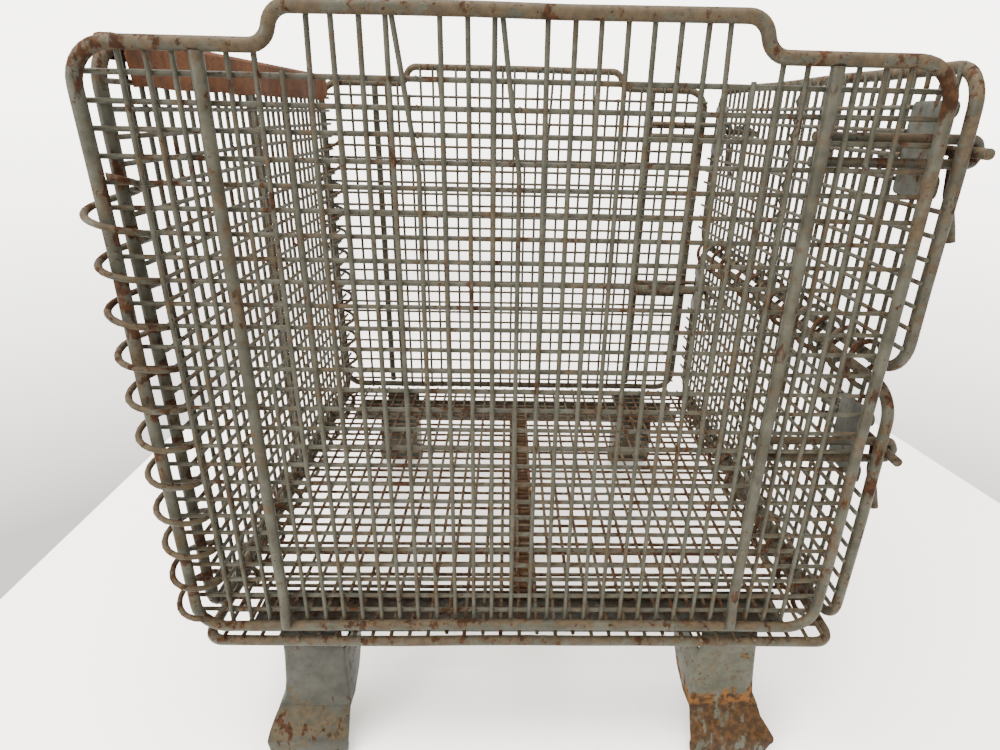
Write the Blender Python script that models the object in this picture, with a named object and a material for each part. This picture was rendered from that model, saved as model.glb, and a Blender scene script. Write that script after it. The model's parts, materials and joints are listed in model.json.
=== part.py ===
"""Collapsible stacking wire container: five wire-mesh sides on a footed base, joined by coil hinges.

Metres, +Z up, floor at Z = 0. The front end panel faces -Y and the two half gates are on +X.
"""
import math

import bmesh
import bpy
from mathutils import Matrix, Vector

MM = 0.001

# Wire sizes
PITCH = 12.7 * MM  # between neighbouring upright wires
ROW = 12.9 * MM  # between neighbouring level wires
MESH_LAYER = (4.3 * MM, 8.1 * MM)  # how far a mesh lies behind the centre line of its frame
ROD_RADIUS = 4.0 * MM
COIL_WIRE_RADIUS = 1.9 * MM
COIL_RADIUS = 14.6 * MM
COIL_LEAD = 2 * PITCH
COIL_CLEARANCE = 11 * MM  # from a coiled rod to the end of anything welded across it
LATCH_ROD_RADIUS = 2.8 * MM
CORNER_COIL_Z = 134 * MM
CORNER_COIL_TURNS = 11
CORNER_RADIUS = 20 * MM
BASE_CORNER_RADIUS = 12 * MM

# The main planes, all to rod centre lines
HALF_DEPTH = 202 * MM  # end panels stand at -Y and +Y
HINGE_X = 218.8 * MM  # gates, and the base's side rods
WALL_X = -216.8 * MM
PANEL_CENTRE_X = -9.3 * MM
PANEL_HALF_WIDTH = 211.5 * MM
CORNER_X = (PANEL_CENTRE_X - PANEL_HALF_WIDTH + WALL_X) / 2  # axis of the upright coils
WALL_INSET = 12.7 * MM  # the left wall's end rods stand this far inside the end panels
GATE_INSET = 4.3 * MM
BASE_Z = 108 * MM
PANEL_BOTTOM_Z = 119.3 * MM
SIDE_BOTTOM_Z = 120.5 * MM
LOWER_GATE_TOP_Z = 299 * MM
UPPER_GATE_BOTTOM_Z = 311.5 * MM
TOP_Z = 478 * MM
FIRST_ROW_Z = 130 * MM
SIDE_FIRST_ROW_RISE = 18.4 * MM  # from the bottom rod of a wall or gate
HUMP_RISE = 16.8 * MM
HUMP_HALF_WIDTH = 117 * MM
HUMP_LEAN = 2.1 * MM  # half the run of the steep step at each end of the raised middle
HUMP_BEND = 10.8 * MM
HEAVY_ROD_OFFSET = 12 * PITCH

# Latches
LATCH_ZS = {"upper": 437 * MM, "lower": 257.6 * MM}
LATCH_INSET = 11.4 * MM  # latch legs and eyes stand this far inside the end panels
LEG_SPREAD = 6.5 * MM
LEG_START_X = 143 * MM
LEG_END_X = 212 * MM
EYE_START_X = 215 * MM
EYE_END_X = 232.5 * MM
BOLT_X = 226.3 * MM
BOLT_RADIUS = 2.9 * MM
BOLT_TIP_INSET = -4 * MM
BOLT_TAIL_INSET = 100 * MM
HANDLE_INSET = 21 * MM
HANDLE_DROP = 46 * MM
GUIDE_INSET = 72 * MM
PLATE_X = (212.4 * MM, 214.6 * MM)
PLATE_REACH = (9.5 * MM, 46.5 * MM)
PLATE_HALF_HEIGHT = 25 * MM
NOTCH_REACH = 18 * MM
NOTCH_HEIGHTS = (-12 * MM, 16 * MM)

# Base and feet
CHANNEL_REACH = (19 * MM, 52 * MM)
CHANNEL_HEIGHTS = (94 * MM, 104 * MM)
CHANNEL_HALF_LENGTH = 200 * MM
SHEET = 2 * MM
STRAP_HALF_WIDTH = 10 * MM
STRAP_HEIGHTS = (101.8 * MM, 103.6 * MM)
FOOT_XS = (128 * MM, 174 * MM)
FOOT_LIP_EXTRA = 17 * MM
FOOT_FACE_INSET = 5.7 * MM
FOOT_LIP_INSET = -7 * MM
FOOT_DEPTH = 40 * MM
FOOT_TOP_Z = 93 * MM
FOOT_TAB_TOP_Z = 111 * MM
FOOT_FLARE_Z = 38 * MM
FOOT_LIP_Z = 16 * MM

# Colours: slot name, linear colour, metallic, roughness
PAINT = ("paint", (0.30, 0.31, 0.26), 0.0, 0.6)
WORN_PAINT = ("worn_paint", (0.33, 0.29, 0.21), 0.0, 0.7)
RUSTY_WIRE = ("rusty_wire", (0.27, 0.17, 0.09), 0.2, 0.75)
RUST = ("rust", (0.20, 0.06, 0.025), 0.0, 0.85)


def clear_scene():
    for old in list(bpy.data.objects):
        bpy.data.objects.remove(old, do_unlink=True)


def material(name, look):
    slot, colour, metallic, roughness = look
    new = bpy.data.materials.new(f"{name}_{slot}")
    new.use_nodes = True
    shader = new.node_tree.nodes["Principled BSDF"]
    shader.inputs["Base Color"].default_value = (*colour, 1)
    shader.inputs["Metallic"].default_value = metallic
    shader.inputs["Roughness"].default_value = roughness
    return new


def hinge(name, location, parent=None):
    """An empty on a joint's axis, which carries the pieces that move about it."""
    empty = bpy.data.objects.new(name, None)
    bpy.context.collection.objects.link(empty)
    attach(empty, parent)
    empty.matrix_world = Matrix.Translation(location)
    bpy.context.view_layer.update()
    return empty


def attach(child, parent):
    if parent:
        child.parent = parent
        child.matrix_parent_inverse = parent.matrix_world.inverted()


def add(name, data, look, parent):
    made = bpy.data.objects.new(name, data)
    data.materials.append(material(name, look))
    bpy.context.collection.objects.link(made)
    attach(made, parent)
    return made


def rod(name, points, radius, look, parent=None, closed=False, sides=6):
    """A round rod along a line of points."""
    curve = bpy.data.curves.new(name, "CURVE")
    curve.dimensions = "3D"
    curve.bevel_depth = radius
    curve.bevel_resolution = (sides - 4) // 2
    curve.use_fill_caps = not closed
    spline = curve.splines.new("POLY")
    spline.points.add(len(points) - 1)
    for target, point in zip(spline.points, points):
        target.co = (*point, 1)
    spline.use_cyclic_u = closed
    return add(name, curve, look, parent)


def rounded(corners, radii, steps=4, closed=True):
    """The corner points of an outline, each replaced by a tangent arc."""
    points = []
    count = len(corners)
    for i, (corner, radius) in enumerate(zip(corners, radii)):
        if not radius or (not closed and i in (0, count - 1)):
            points.append(Vector(corner))
            continue
        corner = Vector(corner)
        before = (Vector(corners[i - 1]) - corner).normalized()
        after = (Vector(corners[(i + 1) % count]) - corner).normalized()
        half = before.angle(after) / 2
        centre = corner + (before + after).normalized() * radius / math.sin(half)
        start = corner + before * radius / math.tan(half) - centre
        sweep = math.pi - 2 * half
        for step in range(steps + 1):
            turn = sweep * step / steps
            points.append(centre + start * math.cos(turn) - before * radius * math.sin(turn))
    return points


def coil(name, start, along, turns, lead, passes, hand, parent):
    """A wire coil that climbs from start along one axis.

    passes = (angle, distance): the wire stands at that angle this far along, so that its turns go
    between the wires of the meshes that it joins. hand is 1 or -1, the way that it winds.
    """
    along = Vector(along)
    first = Vector((1, 0, 0))
    second = along.cross(first) * hand
    phase = math.radians(passes[0]) - 2 * math.pi * passes[1] / lead
    steps = 8
    points = []
    for step in range(round(turns * steps) + 1):
        angle = phase + 2 * math.pi * step / steps
        around = first * math.cos(angle) + second * math.sin(angle)
        points.append(Vector(start) + around * COIL_RADIUS + along * lead * step / steps)
    return rod(name, points, COIL_WIRE_RADIUS, RUSTY_WIRE, parent, sides=4)


def on_plane(plane, u, v, w):
    return {"XZ": (u, w, v), "YZ": (w, u, v), "XY": (u, v, w)}[plane]


def plate_of_cells(name, plane, us, vs, filled, layer, look, parent=None):
    """A flat plate cut into cells, keeping those for which filled(i, j) is true."""
    mesh = bmesh.new()
    corners = {}

    def corner(i, j, side):
        key = (i, j, side)
        if key not in corners:
            corners[key] = mesh.verts.new(on_plane(plane, us[i], vs[j], layer[side]))
        return corners[key]

    def is_filled(i, j):
        return 0 <= i < len(us) - 1 and 0 <= j < len(vs) - 1 and filled(i, j)

    for i in range(len(us) - 1):
        for j in range(len(vs) - 1):
            if not is_filled(i, j):
                continue
            loop = [(i, j), (i + 1, j), (i + 1, j + 1), (i, j + 1)]
            neighbours = [(i, j - 1), (i + 1, j), (i, j + 1), (i - 1, j)]
            for side in (0, 1):
                mesh.faces.new([corner(*point, side) for point in loop])
            for k, neighbour in enumerate(neighbours):
                if not is_filled(*neighbour):
                    a, b = loop[k], loop[(k + 1) % 4]
                    mesh.faces.new([corner(*a, 0), corner(*b, 0), corner(*b, 1), corner(*a, 1)])
    bmesh.ops.recalc_face_normals(mesh, faces=mesh.faces)
    data = bpy.data.meshes.new(name)
    mesh.to_mesh(data)
    mesh.free()
    return add(name, data, look, parent)


def bar_edges(low, centres, high, width=3.7 * MM):
    """Cell edges in which the odd cells are bars on the given centre lines."""
    edges = [low]
    for centre in centres:
        edges += [centre - width / 2, centre + width / 2]
    return edges + [high]


def grille(name, plane, u_edges, v_edges, layer, look, parent=None, open_cells=()):
    def filled(i, j):
        return (i % 2 == 1 or j % 2 == 1) and (i, j) not in open_cells

    return plate_of_cells(name, plane, u_edges, v_edges, filled, layer, look, parent)


def extrusion(name, plane, outline, span, look, parent=None):
    """A closed outline on a plane, drawn out over a span of the third axis."""
    mesh = bmesh.new()
    ends = [[mesh.verts.new(on_plane(plane, u, v, w)) for u, v in outline] for w in span]
    for end in ends:
        mesh.faces.new(end)
    for k in range(len(outline)):
        n = (k + 1) % len(outline)
        mesh.faces.new([ends[0][k], ends[0][n], ends[1][n], ends[1][k]])
    bmesh.ops.recalc_face_normals(mesh, faces=mesh.faces)
    data = bpy.data.meshes.new(name)
    mesh.to_mesh(data)
    mesh.free()
    return add(name, data, look, parent)


def frame_ring(name, plane, u_low, u_high, v_low, v_high, w, look, parent=None):
    corners = [on_plane(plane, u, v, w) for u, v in
               ((u_low, v_low), (u_high, v_low), (u_high, v_high), (u_low, v_high))]
    return rod(name, rounded(corners, [CORNER_RADIUS] * 4), ROD_RADIUS, look, parent, closed=True)


def end_panel(name, facing, parent):
    """An end panel with a raised saddle in its top rod; facing is -1 at the front, 1 at the back."""
    y = facing * HALF_DEPTH
    left = PANEL_CENTRE_X - PANEL_HALF_WIDTH
    right = PANEL_CENTRE_X + PANEL_HALF_WIDTH
    hump_left = PANEL_CENTRE_X - HUMP_HALF_WIDTH
    hump_right = PANEL_CENTRE_X + HUMP_HALF_WIDTH
    high_z = TOP_Z + HUMP_RISE
    outline = [(left, PANEL_BOTTOM_Z), (right, PANEL_BOTTOM_Z), (right, TOP_Z),
               (hump_right + HUMP_LEAN, TOP_Z), (hump_right - HUMP_LEAN, high_z),
               (hump_left + HUMP_LEAN, high_z), (hump_left - HUMP_LEAN, TOP_Z), (left, TOP_Z)]
    radii = [CORNER_RADIUS] * 3 + [HUMP_BEND] * 4 + [CORNER_RADIUS]
    corners = [(u, y, v) for u, v in outline]
    rod(f"{name}_frame", rounded(corners, radii), ROD_RADIUS, WORN_PAINT, parent, closed=True)

    for side, sign in (("left", -1), ("right", 1)):
        x = PANEL_CENTRE_X + sign * HEAVY_ROD_OFFSET
        ends = [(x, y, PANEL_BOTTOM_Z + ROD_RADIUS + 0.4 * MM), (x, y, TOP_Z - ROD_RADIUS - 0.4 * MM)]
        rod(f"{name}_{side}_upright", ends, ROD_RADIUS, PAINT, parent)

    layer = [y - facing * depth for depth in MESH_LAYER]
    bars = [PANEL_CENTRE_X + i * PITCH for i in (-14, -10, -6, -2, 2, 6, 10, 14)]
    rows = [FIRST_ROW_Z + j * ROW for j in range(1, 27, 4)]
    us = bar_edges(left + 0.2 * MM, bars, right + ROD_RADIUS / 2)
    vs = bar_edges(PANEL_BOTTOM_Z, rows, TOP_Z) + [high_z]

    def filled(i, j):
        if j == len(vs) - 2:
            return i % 2 == 1 and abs((us[i] + us[i + 1]) / 2 - PANEL_CENTRE_X) < HUMP_HALF_WIDTH
        return i % 2 == 1 or j % 2 == 1

    plate_of_cells(f"{name}_mesh", "XZ", us, vs, filled, layer, PAINT, parent)

    leg_y = y - facing * LATCH_INSET
    for level, z in LATCH_ZS.items():
        for place, sign in (("top", 1), ("bottom", -1)):
            leg_z = z + sign * LEG_SPREAD
            ends = [(LEG_START_X, leg_y, leg_z), (LEG_END_X, leg_y, leg_z)]
            rod(f"{name}_{level}_keeper_{place}", ends, LATCH_ROD_RADIUS, WORN_PAINT, parent)


def left_wall(parent):
    reach = HALF_DEPTH - WALL_INSET
    frame_ring("left_wall_frame", "YZ", -reach, reach, SIDE_BOTTOM_Z, TOP_Z, WALL_X, PAINT, parent)
    bars = [i * PITCH for i in (-13.5, -9.5, -5.5, -1.5, 1.5, 5.5, 9.5, 13.5)]
    rows = [SIDE_BOTTOM_Z + SIDE_FIRST_ROW_RISE + j * ROW for j in range(1, 26, 4)]
    layer = [WALL_X + depth for depth in MESH_LAYER]
    us = bar_edges(-reach - 3.4 * MM, bars, reach + 3.4 * MM)
    grille("left_wall_mesh", "YZ", us, bar_edges(SIDE_BOTTOM_Z, rows, TOP_Z), layer, PAINT, parent)
    stiffener("left_wall_stiffener", WALL_X, SIDE_BOTTOM_Z, TOP_Z, parent)

    inner = WALL_X + MESH_LAYER[1] + 0.4 * MM
    outer = WALL_X - ROD_RADIUS - 0.5 * MM
    top = TOP_Z + ROD_RADIUS + 0.4 * MM
    thick = 1.5 * MM
    low, lip = 459 * MM, 471 * MM
    outline = [(inner, low), (inner + thick, low), (inner + thick, top + thick),
               (outer - thick, top + thick), (outer - thick, lip), (outer, lip), (outer, top),
               (inner, top)]
    span = (-178 * MM, 178 * MM)
    extrusion("left_wall_top_plate", "XZ", outline, span, RUST, parent)


def stiffener(name, frame_x, bottom, top, parent):
    """An upright flat strip half way along a side, on edge between its mesh and its outer face."""
    side = math.copysign(1, frame_x)
    half_thick = 1.2 * MM
    low = bottom + COIL_CLEARANCE
    high = top - (COIL_CLEARANCE if top == LOWER_GATE_TOP_Z else ROD_RADIUS + 0.4 * MM)
    outline = [(-half_thick, low), (half_thick, low), (half_thick, high), (-half_thick, high)]
    depth = (frame_x + side * 3.5 * MM, frame_x - side * (MESH_LAYER[0] - 0.3 * MM))
    extrusion(name, "YZ", outline, depth, WORN_PAINT, parent)


def gate(name, level, bottom, top, parent):
    reach = HALF_DEPTH - GATE_INSET
    frame_ring(f"{name}_frame", "YZ", -reach, reach, bottom, top, HINGE_X, WORN_PAINT, parent)
    latch_z = LATCH_ZS[level]
    bars = [i * PITCH for i in (-11.5, -7.5, -4.5, -1.5, 1.5, 4.5, 7.5, 11.5)]
    rows = [bottom + SIDE_FIRST_ROW_RISE + j * ROW for j in (1, 5, 9)]
    layer = [HINGE_X - depth for depth in MESH_LAYER]
    us = bar_edges(-reach, bars, reach)
    vs = bar_edges(bottom, rows, top)
    window = [(end, j) for end in (0, len(us) - 2) for j in range(1, len(vs) - 2, 2)
              if abs(rows[j // 2] - latch_z) < PLATE_HALF_HEIGHT + 4 * MM]
    grille(f"{name}_mesh", "YZ", us, vs, layer, PAINT, parent, open_cells=window)
    stiffener(f"{name}_stiffener", HINGE_X, bottom, top, parent)

    for end, facing in (("front", -1), ("back", 1)):
        y = facing * HALF_DEPTH

        def inset(distance):
            return y - facing * distance

        us = [inset(PLATE_REACH[0]), inset(NOTCH_REACH), inset(PLATE_REACH[1])]
        vs = [latch_z - PLATE_HALF_HEIGHT, latch_z + NOTCH_HEIGHTS[0],
              latch_z + NOTCH_HEIGHTS[1], latch_z + PLATE_HALF_HEIGHT]
        plate_of_cells(f"{name}_{end}_latch_plate", "YZ", us, vs, lambda i, j: (i, j) != (0, 1),
                       PLATE_X, PAINT, parent)

        z = latch_z
        eye_y = inset(LATCH_INSET)
        eye = [(EYE_START_X, eye_y, z - LEG_SPREAD), (EYE_END_X, eye_y, z - LEG_SPREAD),
               (EYE_END_X, eye_y, z + LEG_SPREAD), (EYE_START_X, eye_y, z + LEG_SPREAD)]
        radius = LEG_SPREAD * 0.999
        rod(f"{name}_{end}_latch_eye", rounded(eye, [0, radius, radius, 0], closed=False),
            LATCH_ROD_RADIUS, WORN_PAINT, parent)

        guide_y = inset(GUIDE_INSET)
        spread = BOLT_RADIUS + 2.4 * MM
        guide = [(EYE_START_X, guide_y, z - spread), (BOLT_X + spread, guide_y, z - spread),
                 (BOLT_X + spread, guide_y, z + spread), (EYE_START_X, guide_y, z + spread)]
        radius = spread * 0.999
        rod(f"{name}_{end}_bolt_guide", rounded(guide, [0, radius, radius, 0], closed=False),
            COIL_WIRE_RADIUS, WORN_PAINT, parent)

        slide = hinge(f"{name}_{end}_bolt_slide", (BOLT_X, eye_y, z), parent)
        ends = [(BOLT_X, inset(BOLT_TIP_INSET), z), (BOLT_X, inset(BOLT_TAIL_INSET), z)]
        rod(f"{name}_{end}_bolt", ends, BOLT_RADIUS, RUSTY_WIRE, slide)
        top_of_handle = z - BOLT_RADIUS - 0.3 * MM
        handle = [(BOLT_X, inset(HANDLE_INSET), top_of_handle),
                  (BOLT_X + 3 * MM, inset(HANDLE_INSET), top_of_handle - HANDLE_DROP * 0.6),
                  (BOLT_X, inset(HANDLE_INSET), top_of_handle - HANDLE_DROP)]
        rod(f"{name}_{end}_bolt_handle", handle, BOLT_RADIUS, RUSTY_WIRE, slide)


def foot(name, side, facing):
    """A bent-sheet foot: a channel that opens inwards, with a flared stacking lip below."""
    face_y = facing * (HALF_DEPTH - FOOT_FACE_INSET)
    lip_y = facing * (HALF_DEPTH - FOOT_LIP_INSET)
    back_y = face_y - facing * FOOT_DEPTH
    toe_y = face_y - facing * 10 * MM
    inner, outer = (side * x for x in FOOT_XS)
    spread = outer + side * FOOT_LIP_EXTRA
    points = {
        "tab_inner": (inner, face_y, FOOT_TAB_TOP_Z), "tab_outer": (outer, face_y, FOOT_TAB_TOP_Z),
        "top_inner": (inner, face_y, FOOT_TOP_Z), "top_outer": (outer, face_y, FOOT_TOP_Z),
        "low_inner": (inner, face_y, FOOT_FLARE_Z), "low_outer": (outer, face_y, FOOT_FLARE_Z),
        "lip_inner": (inner, lip_y, FOOT_LIP_Z), "lip_outer": (spread, lip_y, FOOT_LIP_Z),
        "floor_inner": (inner, lip_y, 0), "floor_outer": (spread, lip_y, 0),
        "wing_inner": (inner, back_y, FOOT_TOP_Z), "wing_outer": (outer, back_y, FOOT_TOP_Z),
        "heel_inner": (inner, back_y, 62 * MM), "heel_outer": (outer, back_y, 62 * MM),
        "toe_inner": (inner, toe_y, FOOT_FLARE_Z), "toe_outer": (outer, toe_y, FOOT_FLARE_Z),
    }
    sheets = [("tab_inner", "tab_outer", "top_outer", "top_inner"),
              ("top_inner", "top_outer", "low_outer", "low_inner"),
              ("low_inner", "low_outer", "lip_outer", "lip_inner"),
              ("lip_inner", "lip_outer", "floor_outer", "floor_inner"),
              ("top_inner", "low_inner", "toe_inner", "heel_inner", "wing_inner"),
              ("top_outer", "wing_outer", "heel_outer", "toe_outer", "low_outer")]
    mesh = bmesh.new()
    corners = {key: mesh.verts.new(place) for key, place in points.items()}
    for sheet in sheets:
        mesh.faces.new([corners[key] for key in sheet])
    bmesh.ops.recalc_face_normals(mesh, faces=mesh.faces)
    data = bpy.data.meshes.new(name)
    mesh.to_mesh(data)
    mesh.free()
    made = add(name, data, PAINT, None)
    thicken = made.modifiers.new("sheet", "SOLIDIFY")
    thicken.thickness = SHEET
    thicken.offset = 0


def base():
    corners = [(x, y, BASE_Z) for x, y in ((-HINGE_X, -HALF_DEPTH), (HINGE_X, -HALF_DEPTH),
                                           (HINGE_X, HALF_DEPTH), (-HINGE_X, HALF_DEPTH))]
    rod("base_frame", rounded(corners, [BASE_CORNER_RADIUS] * 4), ROD_RADIUS, PAINT, closed=True)

    edge_x = HINGE_X - MESH_LAYER[0]
    edge_y = HALF_DEPTH - FOOT_FACE_INSET - SHEET
    across = [i * PITCH for i in (-15, -11.25, -7.5, -3.75, 0, 3.75, 7.5, 11.25, 15)]
    along = [i * PITCH for i in (-14, -10, -6, -2, 2, 6, 10, 14)]
    grille("base_mesh", "XY", bar_edges(-edge_x, across, edge_x), bar_edges(-edge_y, along, edge_y),
           (BASE_Z - 3.6 * MM, BASE_Z + 0.2 * MM), PAINT)

    low, high = CHANNEL_HEIGHTS
    for end, facing in (("front", -1), ("back", 1)):
        near, far = (facing * (HALF_DEPTH - reach) for reach in CHANNEL_REACH)
        wall = -facing * SHEET
        outline = [(near, low), (far, low), (far, high), (far - wall, high), (far - wall, low + SHEET),
                   (near + wall, low + SHEET), (near + wall, high), (near, high)]
        span = (-CHANNEL_HALF_LENGTH, CHANNEL_HALF_LENGTH)
        extrusion(f"base_{end}_channel", "YZ", outline, span, RUSTY_WIRE)
        for side_name, side in (("left", -1), ("right", 1)):
            foot(f"{end}_{side_name}_foot", side, facing)

    strap_reach = HALF_DEPTH - CHANNEL_REACH[1] - 0.5 * MM
    outline = [(-STRAP_HALF_WIDTH, STRAP_HEIGHTS[0]), (STRAP_HALF_WIDTH, STRAP_HEIGHTS[0]),
               (STRAP_HALF_WIDTH, STRAP_HEIGHTS[1]), (-STRAP_HALF_WIDTH, STRAP_HEIGHTS[1])]
    extrusion("base_centre_strap", "XZ", outline, (-strap_reach, strap_reach), RUST)


def coil_hinges(wall_hinge, lower_hinge):
    """Five coils, each wound round the two rods that it joins."""
    reach = HALF_DEPTH - 30 * MM
    turns = 2 * reach / COIL_LEAD
    left_x = (WALL_X - HINGE_X) / 2
    side_z = (BASE_Z + SIDE_BOTTOM_Z) / 2
    gate_z = (LOWER_GATE_TOP_Z + UPPER_GATE_BOTTOM_Z) / 2
    between_wires = reach - 13 * PITCH
    for name, x, z, passes, parent in (
            ("base_left_coil", left_x, side_z, (60, between_wires), None),
            ("base_right_coil", HINGE_X, side_z, (115, between_wires), None),
            ("gate_coil", HINGE_X, gate_z, (115, between_wires + 0.14 * PITCH), lower_hinge)):
        coil(name, (x, -reach, z), (0, 1, 0), turns, COIL_LEAD, passes, -1, parent)
    for end, facing in (("front", -1), ("back", 1)):
        start = (CORNER_X, facing * (HALF_DEPTH - WALL_INSET / 2), CORNER_COIL_Z)
        passes = (0, FIRST_ROW_Z + 1.5 * ROW - CORNER_COIL_Z)
        coil(f"{end}_left_coil", start, (0, 0, 1), CORNER_COIL_TURNS, 2 * ROW, passes, facing,
             wall_hinge)


def build():
    clear_scene()
    base()
    side_z = (BASE_Z + SIDE_BOTTOM_Z) / 2
    wall_hinge = hinge("left_wall_hinge", ((WALL_X - HINGE_X) / 2, 0, side_z))
    left_wall(wall_hinge)
    for end, facing in (("front", -1), ("back", 1)):
        corner = (CORNER_X, facing * (HALF_DEPTH - WALL_INSET / 2), PANEL_BOTTOM_Z)
        end_panel(f"{end}_panel", facing, hinge(f"{end}_panel_hinge", corner, wall_hinge))
    lower_hinge = hinge("lower_gate_hinge", (HINGE_X, 0, side_z))
    gate("lower_gate", "lower", SIDE_BOTTOM_Z, LOWER_GATE_TOP_Z, lower_hinge)
    gate_z = (LOWER_GATE_TOP_Z + UPPER_GATE_BOTTOM_Z) / 2
    upper_hinge = hinge("upper_gate_hinge", (HINGE_X + ROD_RADIUS + 0.1 * MM, 0, gate_z), lower_hinge)
    gate("upper_gate", "upper", UPPER_GATE_BOTTOM_Z, TOP_Z, upper_hinge)
    coil_hinges(wall_hinge, lower_hinge)


build()
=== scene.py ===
"""The looks of a worn wire mesh container: every rod, wire, weld and sheet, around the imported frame.

Metres, +Z up, floor at Z = 0. The front end panel faces -Y and the two half gates are on +X.
"""
import json
import math
import random

import bpy
from mathutils import Matrix, Vector, noise

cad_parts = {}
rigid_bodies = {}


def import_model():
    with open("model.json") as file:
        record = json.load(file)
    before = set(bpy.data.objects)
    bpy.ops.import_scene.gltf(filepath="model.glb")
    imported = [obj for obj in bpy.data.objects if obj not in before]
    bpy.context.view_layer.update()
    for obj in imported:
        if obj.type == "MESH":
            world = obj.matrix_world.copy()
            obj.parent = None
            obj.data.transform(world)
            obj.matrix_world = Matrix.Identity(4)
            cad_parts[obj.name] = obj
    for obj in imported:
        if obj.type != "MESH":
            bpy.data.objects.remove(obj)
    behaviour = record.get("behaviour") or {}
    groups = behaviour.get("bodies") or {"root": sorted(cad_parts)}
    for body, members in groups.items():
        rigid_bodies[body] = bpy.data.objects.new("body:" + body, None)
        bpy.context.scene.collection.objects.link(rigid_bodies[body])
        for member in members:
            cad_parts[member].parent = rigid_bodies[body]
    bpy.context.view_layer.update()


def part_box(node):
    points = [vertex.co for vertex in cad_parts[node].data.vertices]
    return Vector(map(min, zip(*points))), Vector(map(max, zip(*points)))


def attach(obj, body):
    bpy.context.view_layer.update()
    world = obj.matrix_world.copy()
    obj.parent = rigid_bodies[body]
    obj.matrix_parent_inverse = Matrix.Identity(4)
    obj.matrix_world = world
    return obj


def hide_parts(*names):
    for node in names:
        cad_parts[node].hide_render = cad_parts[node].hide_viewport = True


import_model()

# The container stands on a white laminate table in even light from a high window and the ceiling,
# and the white wall of the room darkens downwards behind the table. The camera is close, just below
# the top rods, and looks down through the front panel.
table_top = bpy.data.materials.new("table_top")
table_top.use_nodes = True
laminate = table_top.node_tree.nodes["Principled BSDF"]
laminate.inputs["Base Color"].default_value = (0.93, 0.915, 0.885, 1)
laminate.inputs["Roughness"].default_value = 0.55

table_left, table_right_near, table_right_far = -0.505, 0.88, 0.44
table_near, table_far, table_thick = -1.3, 1.1, 0.04
bpy.ops.object.select_all(action="DESELECT")
bpy.ops.mesh.primitive_cube_add(size=2, location=(0, 0, 0))
table = bpy.context.object
table.name = "table"
for corner in table.data.vertices:
    is_far = corner.co.y > 0
    table_right = table_right_far if is_far else table_right_near
    corner.co.x = table_right if corner.co.x > 0 else table_left
    corner.co.y = table_far if is_far else table_near
    corner.co.z = 0 if corner.co.z > 0 else -table_thick
table.data.materials.append(table_top)

# The room lights the container evenly, and only what the camera sees of the wall is shaded, from
# wall_foot far down to wall_head at the horizon.
warm_white = (1.0, 0.968, 0.915)
room_light, wall_foot, wall_head = 2.6, 1.3, 6.0
world = bpy.data.worlds.new("white_room")
world.use_nodes = True
room = world.node_tree
background = room.nodes["Background"]
background.inputs["Color"].default_value = (*warm_white, 1)
direction = room.nodes.new("ShaderNodeTexCoord")
view_height = room.nodes.new("ShaderNodeSeparateXYZ")
wall_shade = room.nodes.new("ShaderNodeMapRange")
for name, value in (("From Min", -0.5), ("From Max", 0.0),
                    ("To Min", wall_foot), ("To Max", wall_head)):
    wall_shade.inputs[name].default_value = value
seen = room.nodes.new("ShaderNodeLightPath")
brightness = room.nodes.new("ShaderNodeMix")
brightness.inputs[2].default_value = room_light
room.links.new(direction.outputs["Generated"], view_height.inputs[0])
room.links.new(view_height.outputs[2], wall_shade.inputs["Value"])
room.links.new(seen.outputs["Is Camera Ray"], brightness.inputs[0])
room.links.new(wall_shade.outputs["Result"], brightness.inputs[3])
room.links.new(brightness.outputs[0], background.inputs["Strength"])
bpy.context.scene.world = world

for name, place, size, power in (("ceiling", (-0.3, -0.3, 2.1), 1.6, 140),
                                 ("window", (-1.7, -1.5, 1.2), 1.2, 75)):
    bpy.ops.object.light_add(type="AREA", location=place)
    lamp = bpy.context.object
    lamp.name = name
    lamp.data.size = size
    lamp.data.energy = power
    lamp.data.color = warm_white
    aim = Vector((0, 0, 0.25)) - Vector(place)
    lamp.rotation_euler = aim.to_track_quat("-Z", "Y").to_euler()

bpy.ops.object.camera_add()
camera = bpy.context.object
right, up, back = (0.9996, -0.0184, 0.0217), (-0.0132, 0.3751, 0.9269), (-0.0251, -0.9268, 0.3747)
camera.matrix_world = (Matrix.Translation((-0.0143, -0.5191, 0.4511))
                       @ Matrix((right, up, back)).transposed().to_4x4())
camera.data.lens = 21.68
camera.data.sensor_width = 36
camera.data.shift_x = -0.0216
camera.data.shift_y = -0.0186
camera.data.clip_start = 0.01
bpy.context.scene.camera = camera


# Base frame: one round steel rod of 8 mm, bent at four corners and butt welded into a loop. It was
# dipped in grey-green paint, which has worn to brown along the top and rusts from every scratch. The
# brown on its upper faces is partly wear and partly painted light from above.
mm = 0.001
noise.seed_set(7)


def deselect():
    """Nothing selected, so that the next operator acts only on what it adds."""
    if bpy.context.mode != "OBJECT":
        bpy.ops.object.mode_set(mode="OBJECT")
    bpy.ops.object.select_all(action="DESELECT")


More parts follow.
